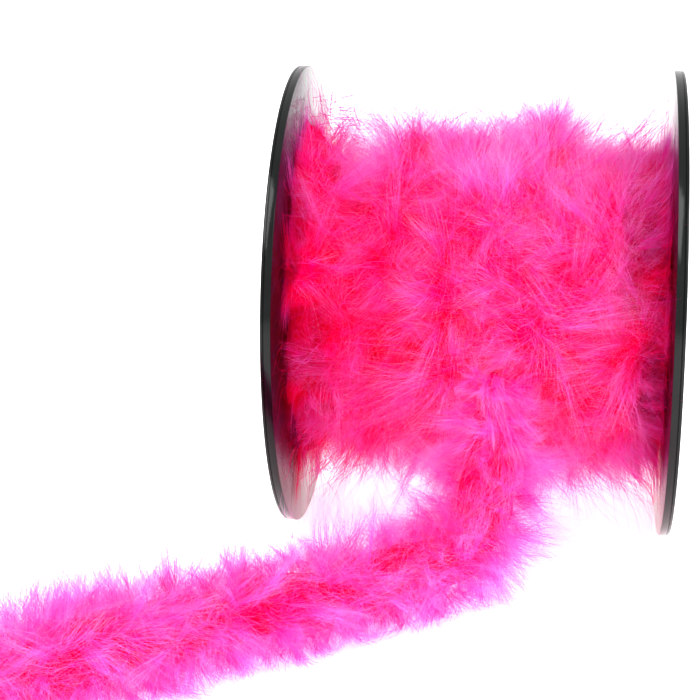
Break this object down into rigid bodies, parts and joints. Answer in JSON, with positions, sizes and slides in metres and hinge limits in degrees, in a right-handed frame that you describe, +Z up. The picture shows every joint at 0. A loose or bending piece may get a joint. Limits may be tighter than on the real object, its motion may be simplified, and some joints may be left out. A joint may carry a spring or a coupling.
{
  "type": "feather boa on a reel",
  "caption": "Fluffy marabou feather boa wound in layers on a two-flange plastic reel, with its free end coming off the front and lying along the table.",
  "frame": {"origin": "on the table, straight below the middle of the reel's axis", "axes": "+X along the reel's axis towards the right-hand flange, -Y towards the side where the boa comes off, +Z up"},
  "size_m": [0.3415, 0.3986, 0.1998],
  "materials": {
    "black_plastic": "glossy moulded",
    "grey_board": "matte spiral-wound board",
    "paper_tape": "matte",
    "pink_down": "soft fluffy down",
    "pink_cord": "twisted yarn"
  },
  "bodies": {
    "boa_lead": {"lead_plumage": "pink_down", "lead_cord": "pink_cord"},
    "reel": {"left_flange": "black_plastic", "right_flange": "black_plastic", "core_tube": "grey_board", "start_tape": "paper_tape", "wound_layer_1": "pink_down", "wound_layer_2": "pink_down", "wound_layer_3": "pink_down", "top_turn_1": "pink_down", "top_turn_2": "pink_down", "top_turn_3": "pink_down", "top_turn_4": "pink_down", "top_turn_5": "pink_down"},
    "tail_near": {"tail_near_plumage": "pink_down", "tail_near_cord": "pink_cord"},
    "tail_middle": {"tail_middle_plumage": "pink_down", "tail_middle_cord": "pink_cord"},
    "tail_far": {"tail_far_plumage": "pink_down", "tail_far_cord": "pink_cord", "end_knot": "pink_cord"}
  },
  "joints": [
    {"name": "reel_turn", "type": "hinge", "parent": "boa_lead", "child": "reel", "pos_m": [0, 0, 0.0999], "axis": [1, 0, 0], "continuous": true},
    {"name": "near_bend", "type": "hinge", "parent": "boa_lead", "child": "tail_near", "pos_m": [-0.02999, -0.13616, 0.02222], "axis": [0, 0, 1], "range_deg": [-25, 25]},
    {"name": "middle_bend", "type": "hinge", "parent": "tail_near", "child": "tail_middle", "pos_m": [-0.09983, -0.19293, 0.02222], "axis": [0, 0, 1], "range_deg": [-25, 25]},
    {"name": "far_bend", "type": "hinge", "parent": "tail_middle", "child": "tail_far", "pos_m": [-0.16821, -0.25141, 0.02222], "axis": [0, 0, 1], "range_deg": [-25, 25]}
  ]
}
